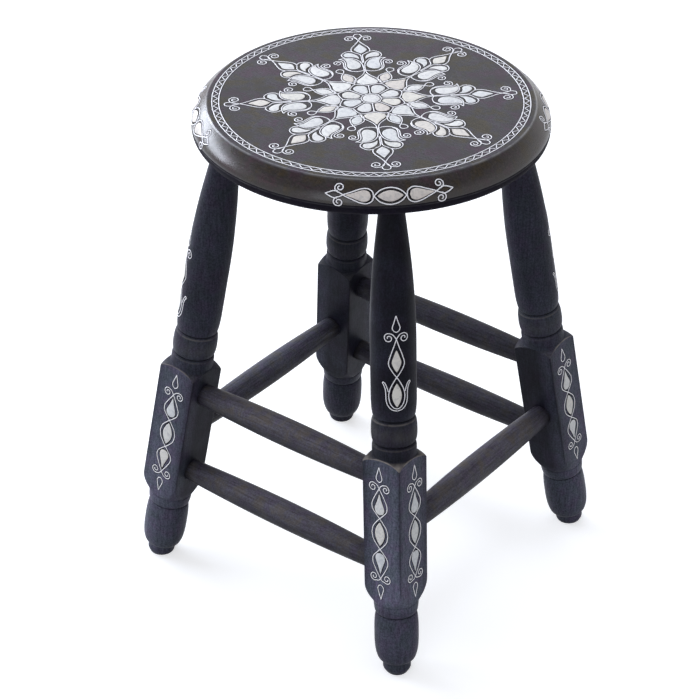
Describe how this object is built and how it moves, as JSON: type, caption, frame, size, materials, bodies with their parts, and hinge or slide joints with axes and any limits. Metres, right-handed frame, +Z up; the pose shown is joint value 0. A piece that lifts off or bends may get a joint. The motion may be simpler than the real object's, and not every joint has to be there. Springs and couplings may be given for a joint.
{
  "type": "stool",
  "caption": "Low round wooden stool with bone and wire inlay, a thick bevelled seat and splayed turned legs tied by round rails.",
  "frame": {"origin": "on the floor, in the middle between the four feet", "axes": "+Z up; X and Y along the sides of the square of legs, with the double rails at the front (-Y) and the back (+Y)"},
  "size_m": [0.3352, 0.3352, 0.5],
  "materials": {
    "seat_wood": "dark stain, worn satin varnish",
    "leg_wood": "blue-black stain, satin varnish",
    "rail_wood": "dark stain, worn satin varnish",
    "bone": "polished bone",
    "silvery_wire": "filed flush"
  },
  "bodies": {
    "root": {"seat": "seat_wood", "leg_front_left": "leg_wood", "leg_front_right": "leg_wood", "leg_back_left": "leg_wood", "leg_back_right": "leg_wood", "rail_front_upper": "rail_wood", "rail_front_lower": "rail_wood", "rail_back_upper": "rail_wood", "rail_back_lower": "rail_wood", "rail_left": "rail_wood", "rail_right": "rail_wood", "border_wire_outer": "silvery_wire", "border_wire_inner": "silvery_wire", "star_centre": "bone", "star_inner_petal_1": "bone", "star_shield_petal_1": "bone", "star_tip_leaf_1": "bone", "star_comma_left_1": "bone", "star_comma_right_1": "bone", "star_inner_petal_2": "bone", "star_shield_petal_2": "bone", "star_tip_leaf_2": "bone", "star_comma_left_2": "bone", "star_comma_right_2": "bone", "star_inner_petal_3": "bone", "star_shield_petal_3": "bone", "star_tip_leaf_3": "bone", "star_comma_left_3": "bone", "star_comma_right_3": "bone", "star_inner_petal_4": "bone", "star_shield_petal_4": "bone", "star_tip_leaf_4": "bone", "star_comma_left_4": "bone", "star_comma_right_4": "bone", "star_inner_petal_5": "bone", "star_shield_petal_5": "bone", "star_tip_leaf_5": "bone", "star_comma_left_5": "bone", "star_comma_right_5": "bone", "star_inner_petal_6": "bone", "star_shield_petal_6": "bone", "star_tip_leaf_6": "bone", "star_comma_left_6": "bone", "star_comma_right_6": "bone", "star_inner_petal_7": "bone", "star_shield_petal_7": "bone", "star_tip_leaf_7": "bone", "star_comma_left_7": "bone", "star_comma_right_7": "bone", "star_inner_petal_8": "bone", "star_shield_petal_8": "bone", "star_tip_leaf_8": "bone", "star_comma_left_8": "bone", "star_comma_right_8": "bone", "side_almond_front_left": "bone", "side_almond_front_right": "bone", "side_almond_back_left": "bone", "side_almond_back_right": "bone"}
  },
  "joints": []
}
